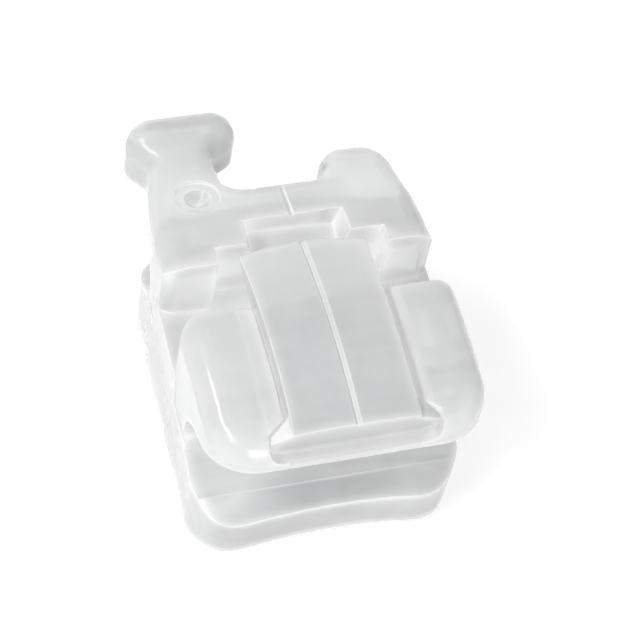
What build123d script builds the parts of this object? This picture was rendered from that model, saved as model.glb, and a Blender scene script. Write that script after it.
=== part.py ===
from build123d import *
import os
from math import sqrt

# Orthodontic bracket with a sliding door, in millimetres.
# +X runs across the tooth, +Y towards the gum, +Z away from the tooth.
# The origin lies under the middle of the wire slot, level with the rim of the bonding pad.

# Overall height, to the crest of the door; every level below is a drop from it
door_crest_z = 2.495

# Wire slot, 0.022 x 0.028 inch, with the door's tongue across its mouth
slot_height = 0.5588
slot_depth = 0.7112
door_tongue_thickness = 0.3438
door_tongue_z = door_crest_z - door_tongue_thickness
slot_floor_z = door_tongue_z - slot_depth
gum_wall_y = slot_height / 2
bite_wall_y = -slot_height / 2

# Bonding pad: concave on the tooth side, with retention grooves across it
body_width = 2.82
body_half = body_width / 2
pad_bite_y = -1.83
pad_gum_y = 1.48
pad_corner_radius = 0.50
pad_right_taper = 0.13
pad_drop = 1.625
pad_thickness = door_crest_z - pad_drop
tooth_radius = 3.07
tooth_axis_z = -sqrt(tooth_radius ** 2 - body_half ** 2)
flange_length = 0.30
rim_radius = 0.06
groove_count = 3
groove_pitch = 0.881
groove_mouth = 0.412
groove_flank = 0.02
groove_depth = 0.125
groove_middle_y = -0.121
overrun = 0.60

# Neck and the undercuts that hold a ligature
neck_foot_drop = 1.475
neck_foot_z = door_crest_z - neck_foot_drop
neck_overlap = 0.07
bite_foot_y = -1.05
bite_throat_y = -0.90
bite_throat_drop = 1.295
bite_throat_z = door_crest_z - bite_throat_drop
bite_rise_y = -1.00
bite_rise_drop = 0.995
bite_rise_z = door_crest_z - bite_rise_drop
bite_turn_y = -1.36
bite_turn_drop = 0.715
bite_turn_z = door_crest_z - bite_turn_drop
bite_lip_drop = 0.515
bite_lip_z = door_crest_z - bite_lip_drop
gum_crease_y = 1.06
gum_foot_y = 0.86
gum_throat_y = 0.74
gum_throat_drop = 1.215
gum_throat_z = door_crest_z - gum_throat_drop
gum_turn_y = 0.86
gum_turn_drop = 0.955
gum_turn_z = door_crest_z - gum_turn_drop
gum_roof_y = 1.15
gum_roof_drop = 0.895
gum_roof_z = door_crest_z - gum_roof_drop
hook_under_drop = 1.395
hook_under_z = door_crest_z - hook_under_drop

# Biting-side wing block
labial_radius = 4.60
labial_crest_y = -1.10
block_end_y = -1.91
block_crest_drop = 0.13
block_crest_z = door_crest_z - block_crest_drop
block_edge_radius = 0.25
block_slot_corner = 0.22
block_end_corner = 0.50
block_taper = 0.025
block_lip_radius = 0.03

# Gum-side wings with the hook; their outline is chained back from the tip of the hook
hook_top_y = 2.43
hook_head_length = 0.40
hook_left_x = -1.39
hook_right_x = -0.24
hook_chin_y = hook_top_y - hook_head_length
hook_neck_left_x = -1.24
left_chin_length = 0.23
hook_neck_left_y = hook_chin_y - left_chin_length
hook_neck_right_x = -0.55
right_chin_length = 0.19
hook_neck_right_y = hook_chin_y - right_chin_length
hook_neck_length = 0.52
left_bend_x = -1.34
left_bend_y = hook_neck_left_y - hook_neck_length
left_bend_length = 0.48
side_step = 0.01
left_side_x = -body_half + side_step
left_side_y = left_bend_y - left_bend_length
valley_left_x = -0.53
valley_right_x = 0.50
valley_y = hook_neck_right_y - hook_neck_length
wing_length = 0.395
wing_inner_x = 0.50
wing_top_y = valley_y + wing_length
wing_outer_x = 1.22
right_side_x = 1.335
right_side_length = 0.815
right_side_y = wing_top_y - right_side_length
side_blend_radius = 0.50
neck_fillet = 0.12
valley_left_fillet = 0.22
valley_right_fillet = 0.12
hook_left_radius = 0.30
hook_right_radius = 0.25
hook_chin_radius = 0.25
wing_inner_radius = 0.25
wing_outer_radius = 0.35
wing_edge_radius = 0.24
gum_slot_corner = 0.16
wing_slot_drop = 0.245
wing_slot_z = door_crest_z - wing_slot_drop
wing_bend_y = 0.48
wing_slope_y = 0.79
wing_slope_drop = 0.325
wing_slope_z = door_crest_z - wing_slope_drop
wing_fall_y = 1.30
wing_fall_drop = 0.465
wing_fall_z = door_crest_z - wing_fall_drop
hook_face_y = 1.75
hook_face_drop = 0.535
hook_face_z = door_crest_z - hook_face_drop
hook_end_drop = 0.565
hook_end_z = door_crest_z - hook_end_drop

# Door seat and tool pocket in the gum-side wall
seat_half = 0.87
seat_depth = 0.20
pocket_top_half = 0.545
pocket_floor_half = 0.44
pocket_wall_y = 0.79
pocket_floor_drop = 0.585
pocket_floor_z = door_crest_z - pocket_floor_drop

# Colour dimple and scribe line
dimple_x = -0.864
dimple_shift = 0.06
dimple_y = left_bend_y - dimple_shift
dimple_drop = 0.44
dimple_z = door_crest_z - dimple_drop
dimple_tilt = 15
dimple_radius = 0.235
dimple_well_radius = 0.14
dimple_ring_depth = 0.03
dimple_well_depth = 0.14
dimple_well_share = 0.4
scribe_width = 0.045
scribe_depth = 0.025

# Sliding door
door_gap = 0.025
door_crown = 0.035
door_half = 0.615
door_root_half = 0.645
door_end_y = -1.80
door_corner_y = 0.345
door_bow = 0.07
door_bottom_drop = 0.41
door_bottom_z = door_crest_z - door_bottom_drop
door_step_y = -0.31
flange_half = 0.83
flange_edge_drop = 0.34
flange_edge_z = door_crest_z - flange_edge_drop
flange_root_drop = 0.3
flange_root_z = door_crest_z - flange_root_drop
flange_corner_radius = 0.17
line_width = 0.07
line_depth = 0.03
rail_end_y = -1.56
rail_flare_y = -1.74
rail_bevel_half = 0.82
rail_bevel_drop = 0.045
head_shoulder_drop = 0.205
head_shoulder_z = door_crest_z - head_shoulder_drop
head_root_drop = 0.11
head_root_z = door_crest_z - head_root_drop

# Door travel and the stop tab that sets it
door_travel = 0.72
tab_width = 0.50
tab_length = 0.38
tab_depth = 0.08
tab_gum_y = -0.45

os.makedirs("parts", exist_ok=True)


def both_sides(points):
    return points + [(-across, height) for across, height in reversed(points)]


def door_section(gap, profile):
    with BuildSketch() as section:
        with BuildLine():
            Polyline(*both_sides([(across + gap, height + gap) for across, height in profile]), close=True)
        make_face()
        with Locations((0, door_crest_z)):
            RectangleRounded(2 * (flange_half + gap), 2 * (door_crest_z - door_bottom_z + gap),
                             flange_corner_radius + gap, mode=Mode.INTERSECT)
    return section.sketch


door_profile = [
    (flange_half, door_bottom_z - flange_corner_radius), (flange_half, flange_edge_z),
    (door_root_half, flange_root_z), (door_half, door_crest_z),
]
head_profile = [
    (flange_half, door_bottom_z - flange_corner_radius), (flange_half, head_shoulder_z), (door_half, head_root_z),
]
opening_profile = [
    (flange_half, door_bottom_z - flange_corner_radius), (flange_half, door_crest_z),
]


def rail_end(gap):
    return both_sides([
        (door_half + gap, rail_end_y + overrun), (door_half + gap, rail_end_y + gap),
        (flange_half + gap, rail_flare_y + gap), (flange_half + gap, block_end_y - overrun),
    ])


# Biting-side block, built past the slot and then cut back to its wall
with BuildPart() as bite_block:
    with BuildSketch(Plane.XY.offset(neck_foot_z - neck_overlap)) as block_plan:
        with BuildLine():
            Polyline(
                (-body_half, overrun), (-body_half + block_taper, block_end_y),
                (body_half - block_taper, block_end_y), (body_half, overrun), close=True,
            )
        make_face()
        fillet(block_plan.vertices().group_by(Axis.Y)[0], block_end_corner)
    extrude(amount=door_crest_z - neck_foot_z)
    with Locations((0, labial_crest_y, block_crest_z - labial_radius)):
        Cylinder(labial_radius, 2 * body_width, rotation=(0, 90, 0), mode=Mode.INTERSECT)
    fillet(bite_block.faces().sort_by(Axis.Z)[-1].edges().sort_by(Axis.Y)[:-1], block_edge_radius)
    with BuildSketch(Plane.XY) as wall_plan:
        with BuildLine():
            Polyline(
                (-body_half, block_end_y - overrun), (-body_half, bite_wall_y),
                (body_half, bite_wall_y), (body_half, block_end_y - overrun), close=True,
            )
        make_face()
        fillet(wall_plan.vertices().group_by(Axis.Y)[-1], block_slot_corner)
    extrude(amount=door_crest_z, mode=Mode.INTERSECT)

    # The rails slope down a little towards the door
    with BuildSketch(Plane.XZ.offset(-labial_crest_y)):
        with BuildLine():
            Polyline(*both_sides([
                (door_half, block_crest_z - rail_bevel_drop), (rail_bevel_half, block_crest_z),
                (rail_bevel_half, door_crest_z),
            ]), close=True)
        make_face()
    revolve(axis=Axis((0, labial_crest_y, block_crest_z - labial_radius), (1, 0, 0)), mode=Mode.SUBTRACT)

# Gum-side wings and hook, one outline
wing_corners = [
    ((left_side_x, left_side_y), side_blend_radius),
    ((left_bend_x, left_bend_y), side_blend_radius),
    ((hook_neck_left_x, hook_neck_left_y), neck_fillet),
    ((hook_left_x, hook_chin_y), hook_chin_radius),
    ((hook_left_x, hook_top_y), hook_left_radius),
    ((hook_right_x, hook_top_y), hook_right_radius),
    ((hook_right_x, hook_chin_y), hook_chin_radius),
    ((hook_neck_right_x, hook_neck_right_y), neck_fillet),
    ((valley_left_x, valley_y), valley_left_fillet),
    ((valley_right_x, valley_y), valley_right_fillet),
    ((wing_inner_x, wing_top_y), wing_inner_radius),
    ((wing_outer_x, wing_top_y), wing_outer_radius),
    ((right_side_x, right_side_y), side_blend_radius),
]
with BuildPart() as gum_wings:
    with BuildSketch(Plane.XY.offset(neck_foot_z - neck_overlap)) as wing_plan:
        with BuildLine():
            Polyline(
                (left_side_x, -overrun), *[corner for corner, radius in wing_corners],
                (body_half, -overrun), close=True,
            )
        make_face()
        for corner, radius in wing_corners:
            fillet(wing_plan.vertices().sort_by_distance(Vertex(*corner, neck_foot_z - neck_overlap))[0], radius)
    extrude(amount=door_crest_z - neck_foot_z)
    with BuildSketch(Plane.YZ.offset(-body_width)) as wing_face:
        with BuildLine():
            face_line = Spline(
                (-overrun, wing_slot_z), (wing_bend_y - seat_depth, wing_slot_z), (wing_slope_y, wing_slope_z),
                (wing_fall_y, wing_fall_z), (hook_face_y, hook_face_z), (hook_top_y + overrun, hook_end_z),
            )
            Polyline(
                face_line @ 1, (hook_top_y + overrun, door_crest_z + overrun),
                (-overrun, door_crest_z + overrun), face_line @ 0,
            )
        make_face()
    extrude(amount=2 * body_width, mode=Mode.SUBTRACT)
    fillet(gum_wings.faces().sort_by(Axis.Z)[-1].edges().sort_by(Axis.Y)[1:], wing_edge_radius)
    with BuildSketch(Plane.XY) as gum_wall_plan:
        with BuildLine():
            Polyline(
                (-body_half, gum_wall_y), (body_half, gum_wall_y), (body_half, hook_top_y + overrun),
                (-body_half, hook_top_y + overrun), close=True,
            )
        make_face()
        fillet(gum_wall_plan.vertices().group_by(Axis.Y)[0], gum_slot_corner)
    extrude(amount=door_crest_z, mode=Mode.INTERSECT)

# Opening where the rails end, with the outline of the door's head
with BuildPart() as rail_opening:
    with BuildSketch(Plane.XZ.offset(-rail_end_y - door_gap)):
        add(door_section(door_gap, opening_profile))
    extrude(amount=rail_end_y - block_end_y + overrun)
    with BuildSketch(Plane.XY.offset(door_bottom_z - door_gap)):
        with BuildLine():
            Polyline(*rail_end(door_gap), close=True)
        make_face()
    extrude(amount=door_crest_z, mode=Mode.INTERSECT)

# One-piece ceramic body
pad_length = pad_gum_y - pad_bite_y
with BuildPart() as bracket_body:
    with BuildSketch(Plane.XY) as pad_plan:
        with BuildLine():
            Polyline(
                (-body_half, pad_bite_y), (body_half - pad_right_taper, pad_bite_y), (body_half, bite_throat_y),
                (body_half, pad_gum_y), (-body_half, pad_gum_y), close=True,
            )
        make_face()
        fillet(pad_plan.vertices().group_by(Axis.Y)[0] + pad_plan.vertices().group_by(Axis.Y)[-1], pad_corner_radius)
    extrude(amount=neck_foot_z)
    with BuildSketch(Plane.XY.offset(neck_foot_z - neck_overlap)) as slot_base:
        Rectangle(body_width, slot_height + 2 * block_slot_corner)
    extrude(amount=slot_floor_z - neck_foot_z + neck_overlap)
    add(bite_block.part)
    add(gum_wings.part)

    # Biting-side undercut, in side view
    with BuildSketch(Plane.YZ.offset(-body_width)) as bite_undercut:
        with BuildLine():
            ramp = Line((pad_bite_y + flange_length, pad_thickness), (bite_foot_y, neck_foot_z))
            throat = Spline(
                ramp @ 1, (bite_throat_y, bite_throat_z), (bite_rise_y, bite_rise_z),
                (bite_turn_y, bite_turn_z), (block_end_y - rim_radius, bite_lip_z),
            )
            Polyline(
                throat @ 1, (block_end_y - overrun, bite_lip_z),
                (block_end_y - overrun, pad_thickness), ramp @ 0,
            )
        make_face()
    extrude(amount=2 * body_width, mode=Mode.SUBTRACT)

    # Gum-side undercut, under the wings and the hook
    with BuildSketch(Plane.YZ.offset(-body_width)) as gum_undercut:
        with BuildLine():
            foot = Line((gum_crease_y, pad_thickness), (gum_foot_y, neck_foot_z))
            roof = Spline(foot @ 1, (gum_throat_y, gum_throat_z), (gum_turn_y, gum_turn_z), (gum_roof_y, gum_roof_z))
            Polyline(
                roof @ 1, (hook_top_y + overrun, hook_under_z),
                (hook_top_y + overrun, pad_thickness), foot @ 0,
            )
        make_face()
    extrude(amount=2 * body_width, mode=Mode.SUBTRACT)

    # Both ends of the pad fall from a straight crease to an edge curved like the tooth side
    for end_y, outward in ((pad_bite_y, -1), (pad_gum_y, 1)):
        with BuildSketch(Plane.XZ.offset(-end_y + outward * flange_length)):
            with BuildLine():
                Polyline(
                    (-body_half - rim_radius, pad_thickness), (body_half + rim_radius, pad_thickness),
                    (body_half + rim_radius, pad_thickness + rim_radius),
                    (-body_half - rim_radius, pad_thickness + rim_radius), close=True,
                )
            make_face()
        with BuildSketch(Plane.XZ.offset(-end_y)):
            with BuildLine():
                edge_half = body_half + rim_radius
                edge_drop = tooth_radius - sqrt(tooth_radius ** 2 - edge_half ** 2)
                edge_line = ThreePointArc(
                    (-edge_half, pad_thickness - edge_drop), (0, pad_thickness), (edge_half, pad_thickness - edge_drop),
                )
                Polyline(
                    edge_line @ 1, (edge_half, pad_thickness + rim_radius),
                    (-edge_half, pad_thickness + rim_radius), edge_line @ 0,
                )
            make_face()
        loft(ruled=True, mode=Mode.SUBTRACT)

    # Concave tooth side and its grooves
    with Locations((0, 0, tooth_axis_z)):
        Cylinder(tooth_radius, 2 * pad_length, rotation=(90, 0, 0), mode=Mode.SUBTRACT)
    with BuildSketch(Plane.YZ):
        with Locations((groove_middle_y, tooth_axis_z + tooth_radius)):
            with GridLocations(groove_pitch, 0, groove_count, 1):
                Polygon(
                    (-groove_mouth / 2 - groove_flank, -groove_depth), (groove_mouth / 2 + groove_flank, -groove_depth),
                    (groove_mouth / 2 - groove_flank, groove_depth), (-groove_mouth / 2 + groove_flank, groove_depth),
                    align=None,
                )
    revolve(axis=Axis((0, 0, tooth_axis_z), (0, 1, 0)), mode=Mode.SUBTRACT)

    # Wire slot
    with Locations((0, 0, slot_floor_z)):
        Box(2 * body_width, slot_height, slot_depth + overrun, align=(Align.CENTER, Align.CENTER, Align.MIN),
            mode=Mode.SUBTRACT)

    # Seat for the door's gum-side end, through the wall beside the slot
    with Locations((0, gum_wall_y, slot_floor_z)):
        Box(2 * seat_half, seat_depth, slot_depth + overrun, align=(Align.CENTER, Align.MIN, Align.MIN),
            mode=Mode.SUBTRACT)

    # Pocket for the opening tool
    with BuildSketch(Plane.XZ.offset(-pocket_wall_y)):
        with BuildLine():
            Polyline(
                (-pocket_floor_half, pocket_floor_z), (pocket_floor_half, pocket_floor_z),
                (pocket_top_half, wing_slot_z), (pocket_top_half, door_crest_z),
                (-pocket_top_half, door_crest_z), (-pocket_top_half, wing_slot_z), close=True,
            )
        make_face()
    extrude(amount=pocket_wall_y - gum_wall_y - seat_depth / 2, mode=Mode.SUBTRACT)

    # Channel for the door, open at the biting end
    with BuildSketch(Plane.XZ.offset(-bite_wall_y - door_gap)):
        add(door_section(door_gap, door_profile))
    extrude(amount=bite_wall_y - block_end_y + overrun, mode=Mode.SUBTRACT)
    add(rail_opening.part, mode=Mode.SUBTRACT)

    # Rounded lip at the open end of the channel
    with BuildSketch(Plane.YZ.offset(flange_corner_radius - flange_half)):
        with Locations((block_end_y, door_bottom_z - door_gap)):
            Rectangle(2 * block_lip_radius, 2 * block_lip_radius)
            with Locations((block_lip_radius, -block_lip_radius)):
                Circle(block_lip_radius, mode=Mode.SUBTRACT)
                Rectangle(block_lip_radius, 2 * block_lip_radius, align=(Align.MIN, Align.CENTER), mode=Mode.SUBTRACT)
                Rectangle(2 * block_lip_radius, block_lip_radius, align=(Align.CENTER, Align.MAX), mode=Mode.SUBTRACT)
    extrude(amount=2 * (flange_half - flange_corner_radius), mode=Mode.SUBTRACT)

    # Blind pocket that stops the door at both ends of its travel
    with Locations((0, tab_gum_y + door_gap, door_bottom_z)):
        Box(tab_width + 2 * door_gap, tab_length + door_travel + 2 * door_gap, 2 * (tab_depth + door_gap),
            align=(Align.CENTER, Align.MAX, Align.CENTER), mode=Mode.SUBTRACT)

    # Colour dimple, square to the sloping face
    dimple_plane = Plane((dimple_x, dimple_y, dimple_z)).rotated((-dimple_tilt, 0, 0))
    with BuildSketch(Plane(dimple_plane.origin, dimple_plane.x_dir, -dimple_plane.y_dir)):
        with BuildLine():
            bowl = ThreePointArc(
                (0, -dimple_well_depth),
                (dimple_well_radius * sqrt(dimple_well_share), -dimple_well_depth * (1 - dimple_well_share)),
                (dimple_well_radius, -dimple_ring_depth),
            )
            Polyline(
                bowl @ 1, (dimple_radius, -dimple_ring_depth), (dimple_radius, dimple_well_depth), (0, dimple_well_depth), bowl @ 0,
            )
        make_face()
    revolve(axis=Axis(dimple_plane.origin, dimple_plane.z_dir), mode=Mode.SUBTRACT)

    # Scribe line down the sloping face
    with BuildSketch(Plane.YZ.offset(-scribe_width / 2)):
        add(wing_face.sketch_local)
        with Locations((0, -scribe_depth)):
            add(wing_face.sketch_local)
        with Locations(((pocket_wall_y + valley_y) / 2, door_crest_z)):
            Rectangle(valley_y - pocket_wall_y + scribe_width, door_crest_z, mode=Mode.INTERSECT)
    extrude(amount=scribe_width, mode=Mode.SUBTRACT)
bracket_body.part.label = "bracket_body"
export_step(bracket_body.part, "parts/bracket_body.step")

# Head of the door, wider than the gap between the rails
with BuildPart() as door_head:
    with BuildSketch(Plane.XZ.offset(-rail_end_y)):
        add(door_section(0, head_profile))
    extrude(amount=rail_end_y - door_end_y)
    with BuildSketch(Plane.XY.offset(door_bottom_z)):
        with BuildLine():
            Polyline(*rail_end(0), close=True)
        make_face()
    extrude(amount=door_crest_z, mode=Mode.INTERSECT)

# Sliding door, closed over the slot
door_gum_y = door_corner_y + door_bow
labial_centre_z = door_crest_z - labial_radius
with BuildPart() as sliding_door:
    with BuildSketch(Plane.XZ.offset(-door_gum_y)):
        add(door_section(0, door_profile))
    extrude(amount=door_gum_y - door_end_y)

    # Labial side, curved along the travel and slightly crowned across it
    with BuildSketch(Plane.XZ.offset(-labial_crest_y)):
        with BuildLine():
            crown_line = ThreePointArc(
                (-door_half, door_crest_z - door_crown), (0, door_crest_z), (door_half, door_crest_z - door_crown),
            )
            Polyline(
                crown_line @ 1, (flange_half, door_crest_z - 2 * door_crown), (flange_half, labial_centre_z),
                (-flange_half, labial_centre_z), (-flange_half, door_crest_z - 2 * door_crown), crown_line @ 0,
            )
        make_face()
    revolve(axis=Axis((0, labial_crest_y, labial_centre_z), (1, 0, 0)), mode=Mode.INTERSECT)
    with BuildSketch(Plane.XZ.offset(-labial_crest_y)):
        with BuildLine():
            Polyline(
                (-line_width, door_crest_z + line_depth), (0, door_crest_z - line_depth),
                (line_width, door_crest_z + line_depth), close=True,
            )
        make_face()
    revolve(axis=Axis((0, labial_crest_y, labial_centre_z), (1, 0, 0)), mode=Mode.SUBTRACT)

    # Thin tongue over the slot, no wider than the gap between the rails
    with Locations((0, door_step_y, door_tongue_z)):
        Box(2 * body_width, overrun + seat_depth, overrun, align=(Align.CENTER, Align.MIN, Align.MAX),
            mode=Mode.SUBTRACT)
    for side, align in ((door_root_half, Align.MIN), (-door_root_half, Align.MAX)):
        with Locations((side, door_step_y, door_bottom_z)):
            Box(overrun, overrun + seat_depth, overrun, align=(align, Align.MIN, Align.MIN), mode=Mode.SUBTRACT)
    with BuildSketch(Plane.XY):
        with BuildLine():
            bow_line = ThreePointArc((-door_root_half, door_corner_y), (0, door_gum_y), (door_root_half, door_corner_y))
            Polyline(
                bow_line @ 1, (flange_half, door_corner_y), (flange_half, door_gum_y + overrun),
                (-flange_half, door_gum_y + overrun), (-flange_half, door_corner_y), bow_line @ 0,
            )
        make_face()
    extrude(amount=door_crest_z, mode=Mode.SUBTRACT)

    # Flared head that meets the ends of the rails when the door is shut
    add(door_head.part)

    # Stop tab in the blind pocket of the channel
    with Locations((0, tab_gum_y, door_bottom_z)):
        Box(tab_width, tab_length, 2 * tab_depth, align=(Align.CENTER, Align.MAX, Align.CENTER))
sliding_door.part.label = "sliding_door"
export_step(sliding_door.part, "parts/sliding_door.step")
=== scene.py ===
import bpy
from math import radians
from mathutils import Matrix, Vector

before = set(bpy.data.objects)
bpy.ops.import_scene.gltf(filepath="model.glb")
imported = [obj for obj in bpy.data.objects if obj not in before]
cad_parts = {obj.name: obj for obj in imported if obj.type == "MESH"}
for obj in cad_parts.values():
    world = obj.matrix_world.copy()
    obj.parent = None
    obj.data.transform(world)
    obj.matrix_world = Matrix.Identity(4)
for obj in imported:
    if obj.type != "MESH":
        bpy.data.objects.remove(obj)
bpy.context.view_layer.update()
scene = bpy.context.scene
scene.view_settings.view_transform = "Standard"
mm = 0.001
white = (1, 1, 1, 1)
black = (0, 0, 0, 1)
print("stage: frame loaded", sorted(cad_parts))


def feed(tree, socket, source):  # joins another node's output, or sets a plain value
    if isinstance(source, bpy.types.NodeSocket):
        tree.links.new(source, socket)
    else:
        socket.default_value = source


def feedInOrder(tree, node, *sources):
    for socket, source in zip(node.inputs, sources):
        feed(tree, socket, source)


def feedByName(tree, node, **sources):  # Base_Color stands for the input Base Color
    for name, source in sources.items():
        feed(tree, node.inputs[name.replace("_", " ")], source)


def addNode(tree, kind, **sources):
    made = tree.nodes.new(kind)
    feedByName(tree, made, **sources)
    return made


def addMath(tree, operation, *sources, clamp=False):
    made = addNode(tree, "ShaderNodeMath")
    made.operation = operation
    made.use_clamp = clamp
    feedInOrder(tree, made, *sources)
    return made.outputs[0]


def mapRange(tree, value, lowest, highest, toLowest=0.0, toHighest=1.0, way="LINEAR"):
    made = addNode(tree, "ShaderNodeMapRange", Value=value, From_Min=lowest, From_Max=highest,
                   To_Min=toLowest, To_Max=toHighest)
    made.interpolation_type = way
    return made.outputs[0]


mixFirst, mixSecond, mixResult = 6, 7, 2  # where the Mix node keeps its colours


def mixColors(tree, factor, first, second):
    made = addNode(tree, "ShaderNodeMix", Factor=factor)
    made.data_type = "RGBA"
    feed(tree, made.inputs[mixFirst], first)
    feed(tree, made.inputs[mixSecond], second)
    return made.outputs[mixResult]


def seenDirectly(tree):  # 1 for camera, mirror and see-through rays, 0 for the light that falls on the part
    path = addNode(tree, "ShaderNodeLightPath").outputs
    seenOrMirrored = addMath(tree, "MAXIMUM", path["Is Camera Ray"], path["Is Glossy Ray"])
    return addMath(tree, "MAXIMUM", seenOrMirrored, path["Is Transmission Ray"])


# Camera at the photo's viewing angle
cameraView = {
    "position": (-5.286 * mm, -11.869 * mm, 21.910 * mm),
    "azimuth": -24.8, "elevation": 57.54, "roll": 12.86,
    "lens": 135.33, "sensor": 36.0,
    "nearest": 2 * mm, "farthest": 10.0,
}


def makeCamera(view):
    data = bpy.data.cameras.new("photoCamera")
    data.lens = view["lens"]
    data.sensor_width = view["sensor"]
    data.clip_start = view["nearest"]
    data.clip_end = view["farthest"]
    camera = bpy.data.objects.new("photoCamera", data)
    scene.collection.objects.link(camera)
    turn = Matrix.Rotation(radians(view["azimuth"]), 4, "Z")
    lift = Matrix.Rotation(radians(90 - view["elevation"]), 4, "X")
    roll = Matrix.Rotation(radians(view["roll"]), 4, "Z")
    camera.matrix_world = Matrix.Translation(view["position"]) @ turn @ lift @ roll
    scene.camera = camera


makeCamera(cameraView)
print("stage: camera set")

# Floor, lifted to white where it is looked at, so that only the part's shadow shows
floorLook = {"half": 0.5, "color": (0.95, 0.95, 0.95, 1), "roughness": 0.9, "lift": 0.2}


def makeFloor(look):
    mesh = bpy.data.meshes.new("floor")
    half = look["half"]
    corners = [(-half, -half, 0), (half, -half, 0), (half, half, 0), (-half, half, 0)]
    mesh.from_pydata(corners, [], [(0, 1, 2, 3)])
    floor = bpy.data.objects.new("floor", mesh)
    scene.collection.objects.link(floor)
    material = bpy.data.materials.new("paleFloor")
    material.use_nodes = True
    tree = material.node_tree
    lift = addMath(tree, "MULTIPLY", seenDirectly(tree), look["lift"])
    feedByName(tree, tree.nodes["Principled BSDF"], Base_Color=look["color"], Roughness=look["roughness"],
               Emission_Color=look["color"], Emission_Strength=lift)
    mesh.materials.append(material)


makeFloor(floorLook)

# Studio light: weaker from straight above and from the two sides, most of all from the left
worldLight = {"above": 0.63, "around": 0.99, "fadeFrom": 0.2, "sides": 0.56, "rightShare": 0.2, "seen": 1.0}


def makeWorld(light):
    world = bpy.data.worlds.new("studio")
    scene.world = world
    world.use_nodes = True
    tree = world.node_tree
    tree.nodes.clear()
    direction = addNode(tree, "ShaderNodeTexCoord").outputs["Generated"]
    split = addNode(tree, "ShaderNodeSeparateXYZ", Vector=direction).outputs
    level = mapRange(tree, split["Z"], light["fadeFrom"], 1.0, light["around"], light["above"])
    leftMore = mapRange(tree, split["X"], 1.0, -1.0, light["rightShare"])  # X is -1 at the far left
    sideLoss = addMath(tree, "MULTIPLY", addMath(tree, "ABSOLUTE", split["X"]), leftMore)
    strength = addMath(tree, "MULTIPLY_ADD", sideLoss, -light["sides"], level)
    shine = addNode(tree, "ShaderNodeBackground", Color=white, Strength=strength)
    seen = addNode(tree, "ShaderNodeBackground", Color=white, Strength=light["seen"])
    mix = addNode(tree, "ShaderNodeMixShader")
    feedInOrder(tree, mix, seenDirectly(tree), shine.outputs[0], seen.outputs[0])
    addNode(tree, "ShaderNodeOutputWorld", Surface=mix.outputs[0])


makeWorld(worldLight)

keyLamp = {"place": (-4 * mm, -50 * mm, 18 * mm), "width": 26 * mm, "height": 26 * mm, "watts": 0.013}
sideLamp = {"place": (-29 * mm, 2 * mm, 36 * mm), "width": 50 * mm, "height": 9 * mm, "watts": 0.0135}


def makeLamp(name, lamp):
    data = bpy.data.lights.new(name, "AREA")
    data.shape = "RECTANGLE"
    data.size = lamp["width"]
    data.size_y = lamp["height"]
    data.energy = lamp["watts"]
    made = bpy.data.objects.new(name, data)
    scene.collection.objects.link(made)
    made.location = lamp["place"]
    made.rotation_euler = (-Vector(lamp["place"])).to_track_quat("-Z", "Y").to_euler()


makeLamp("keyLamp", keyLamp)
makeLamp("sideLamp", sideLamp)
print("stage: floor and light made")

# Milky clear ceramic: faint clouds, moulding streaks and fine grain, with painted shade along Y and low
# down, painted highlights on the edges and a painted glow in hollows
surfaceDetail = {
    "cloudScale": 1100, "cloudDetail": 3.0, "cloudRange": (0.36, 0.66), "cloudShare": 0.35,
    "grainScale": 14000, "grainDetail": 2.0, "grainHeight": 0.1e-6, "grainStrength": 0.5,
    "flowScale": 9000, "flowDetail": 1.5, "flowStretch": (0.07, 1.0, 1.0), "flowTilt": (0, 0, 0.04),
    "flowHeight": 0.12e-6, "flowStrength": 0.6,
    "streak": 0.05, "streakRange": (0.42, 0.62, -0.5, 0.5),
    "glossFrom": (0.3, 0.7), "glossTo": (0.15, 0.17),
    "edgeRadius": 0.022 * mm, "edgeSamples": 6, "edgeTurn": (0.995, 0.86), "edgeGlow": 0.5,
    "glowRadius": 0.24 * mm, "glowSamples": 8, "glowTurn": (0.995, 0.72),
    "hollowReach": 0.9 * mm, "hollowSamples": 8, "hollowOpen": (0.66, 0.3),
    "gapOpen": (0.03, 0.16, 0.75, 1.0), "lowGlow": 1.3,
}


def addNoise(group, place, scale, fineness):
    return addNode(group, "ShaderNodeTexNoise", Vector=place, Scale=scale, Detail=fineness).outputs["Fac"]


def addEdge(group, radius, samples, turned):  # rounded normal, and a mask that is 1 where it turns most
    rounded = addNode(group, "ShaderNodeBevel", Radius=radius)
    rounded.samples = samples
    faceNormal = addNode(group, "ShaderNodeNewGeometry").outputs["Normal"]
    turn = addNode(group, "ShaderNodeVectorMath")
    turn.operation = "DOT_PRODUCT"
    feedInOrder(group, turn, rounded.outputs[0], faceNormal)
    return rounded.outputs[0], mapRange(group, turn.outputs["Value"], *turned)


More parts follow.
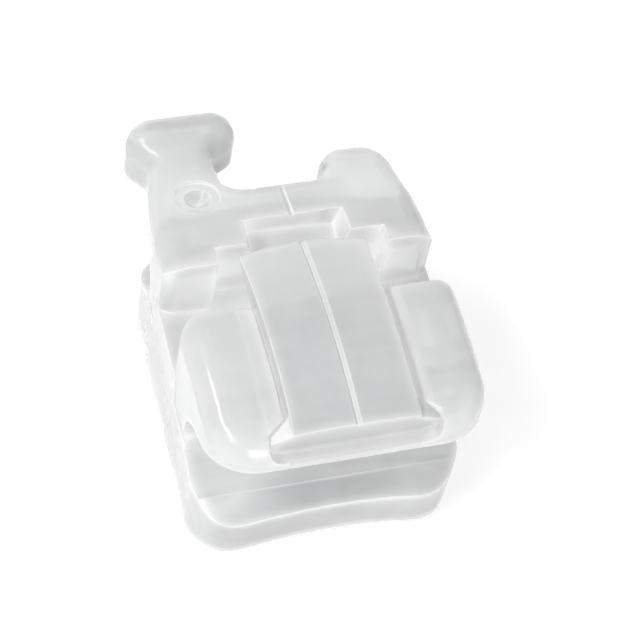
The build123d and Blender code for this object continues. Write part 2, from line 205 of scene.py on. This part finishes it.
def makeSurfaceGroup(detail):
    group = bpy.data.node_groups.new("milkySurface", "ShaderNodeTree")
    for name in ("Deep Color", "Shade Color", "Pale Color", "Edge Color"):
        group.interface.new_socket(name, in_out="INPUT", socket_type="NodeSocketColor")
    for name in ("Shade From", "Shade To", "Low From", "Low To"):
        group.interface.new_socket(name, in_out="INPUT", socket_type="NodeSocketFloat")
    for name, kind in (("Color", "NodeSocketColor"), ("Trapped Light", "NodeSocketColor"),
                       ("Roughness", "NodeSocketFloat"), ("Normal", "NodeSocketVector")):
        group.interface.new_socket(name, in_out="OUTPUT", socket_type=kind)
    entry = addNode(group, "NodeGroupInput").outputs
    place = addNode(group, "ShaderNodeTexCoord").outputs["Object"]
    split = addNode(group, "ShaderNodeSeparateXYZ", Vector=place).outputs

    clouds = addNoise(group, place, detail["cloudScale"], detail["cloudDetail"])
    grain = addNoise(group, place, detail["grainScale"], detail["grainDetail"])
    stretched = addNode(group, "ShaderNodeMapping", Vector=place, Scale=detail["flowStretch"],
                        Rotation=detail["flowTilt"]).outputs[0]
    flow = addNoise(group, stretched, detail["flowScale"], detail["flowDetail"])  # drawn out along the slot

    # Painted shade: a deeper tone towards one end along Y and low down along Z
    shaded = mapRange(group, split["Y"], entry["Shade From"], entry["Shade To"], way="SMOOTHSTEP")
    paintedLowMask = mapRange(group, split["Z"], entry["Low From"], entry["Low To"], way="SMOOTHSTEP")
    paintedShadeMask = addMath(group, "MAXIMUM", shaded, paintedLowMask)
    tone = mixColors(group, paintedShadeMask, entry["Deep Color"], entry["Shade Color"])

    # Paler at clouds and streaks, and painted highlights: paler on wide edges, palest on the edge itself
    edgeNormal, edge = addEdge(group, detail["edgeRadius"], detail["edgeSamples"], detail["edgeTurn"])
    wideEdgeHighlight = addEdge(group, detail["glowRadius"], detail["glowSamples"], detail["glowTurn"])[1]
    cloudMask = mapRange(group, clouds, *detail["cloudRange"])
    streakMask = mapRange(group, flow, *detail["streakRange"])
    cloudy = addMath(group, "MULTIPLY_ADD", cloudMask, detail["cloudShare"], wideEdgeHighlight)
    streaky = addMath(group, "MULTIPLY_ADD", streakMask, detail["streak"], cloudy, clamp=True)
    paler = mixColors(group, streaky, tone, entry["Pale Color"])
    color = mixColors(group, edge, paler, entry["Edge Color"])

    # Painted glow (emission) for light passing through the clear ceramic: in hollows, less of it in narrow
    # gaps and more low down, and along sharp edges
    hollow = addNode(group, "ShaderNodeAmbientOcclusion", Distance=detail["hollowReach"])
    hollow.samples = detail["hollowSamples"]
    inHollow = mapRange(group, hollow.outputs["AO"], *detail["hollowOpen"])
    notInGap = mapRange(group, hollow.outputs["AO"], *detail["gapOpen"])
    lowShare = addMath(group, "MULTIPLY_ADD", paintedLowMask, detail["lowGlow"] - 1, 1.0)
    glow = addMath(group, "MULTIPLY", addMath(group, "MULTIPLY", inHollow, notInGap), lowShare)
    withEdges = addMath(group, "MULTIPLY_ADD", edge, detail["edgeGlow"], glow, clamp=True)
    paintedGlow = mixColors(group, withEdges, black, white)

    gloss = mapRange(group, flow, *detail["glossFrom"], *detail["glossTo"])
    grainBump = addNode(group, "ShaderNodeBump", Height=grain, Normal=edgeNormal,
                        Strength=detail["grainStrength"], Distance=detail["grainHeight"])
    flowBump = addNode(group, "ShaderNodeBump", Height=flow, Normal=grainBump.outputs[0],
                       Strength=detail["flowStrength"], Distance=detail["flowHeight"])
    addNode(group, "NodeGroupOutput", Color=color, Trapped_Light=paintedGlow, Roughness=gloss,
            Normal=flowBump.outputs[0])
    return group


milkySurface = makeSurfaceGroup(surfaceDetail)


def makeCeramic(name, look):
    material = bpy.data.materials.new(name)
    material.use_nodes = True
    tree = material.node_tree
    surface = addNode(tree, "ShaderNodeGroup")
    surface.node_tree = milkySurface
    feedByName(tree, surface, Deep_Color=look["deep"], Shade_Color=look["shade"], Pale_Color=look["pale"],
               Edge_Color=look["edge"], Shade_From=look["shadeFrom"], Shade_To=look["shadeTo"],
               Low_From=look["lowFrom"], Low_To=look["lowTo"])
    # The painted glow drives the emission, so hollows and edges light up without a lamp
    within = addNode(tree, "ShaderNodeNewGeometry").outputs["Backfacing"]
    glow = mixColors(tree, within, surface.outputs["Trapped Light"], black)  # none on faces seen from within
    feedByName(tree, tree.nodes["Principled BSDF"], Base_Color=surface.outputs["Color"],
               Roughness=surface.outputs["Roughness"], Normal=surface.outputs["Normal"],
               Transmission_Weight=look["transmission"], IOR=look["ior"],
               Emission_Color=glow, Emission_Strength=look["paintedGlow"])
    return material


def dress(node, material):
    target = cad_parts[node]
    if not target.material_slots:
        target.data.materials.append(material)
    for slot in target.material_slots:
        slot.material = material


# Body: painted shade, deeper towards the tip of the hook and down at the pad
bodyLook = {
    "deep": (0.77, 0.773, 0.776, 1), "shade": (0.60, 0.604, 0.61, 1),
    "pale": (0.97, 0.97, 0.97, 1), "edge": (1.0, 1.0, 1.0, 1),
    "shadeFrom": 1.35 * mm, "shadeTo": 2.1 * mm, "lowFrom": 1.25 * mm, "lowTo": 0.75 * mm,
    "transmission": 0.5, "ior": 1.45, "paintedGlow": 0.23,
}
dress("bracket_body", makeCeramic("bodyCeramic", bodyLook))
print("stage: body dressed")

# Door: painted shade, deeper towards its outer end; its low fade lies under the part, so nothing of it shows
doorLook = {
    "deep": (0.79, 0.793, 0.798, 1), "shade": (0.67, 0.674, 0.68, 1),
    "pale": (0.93, 0.93, 0.93, 1), "edge": (1.0, 1.0, 1.0, 1),
    "shadeFrom": 0.4 * mm, "shadeTo": -0.7 * mm, "lowFrom": -1 * mm, "lowTo": -2 * mm,
    "transmission": 0.5, "ior": 1.45, "paintedGlow": 0.23,
}
dress("sliding_door", makeCeramic("doorCeramic", doorLook))
print("stage: door dressed")
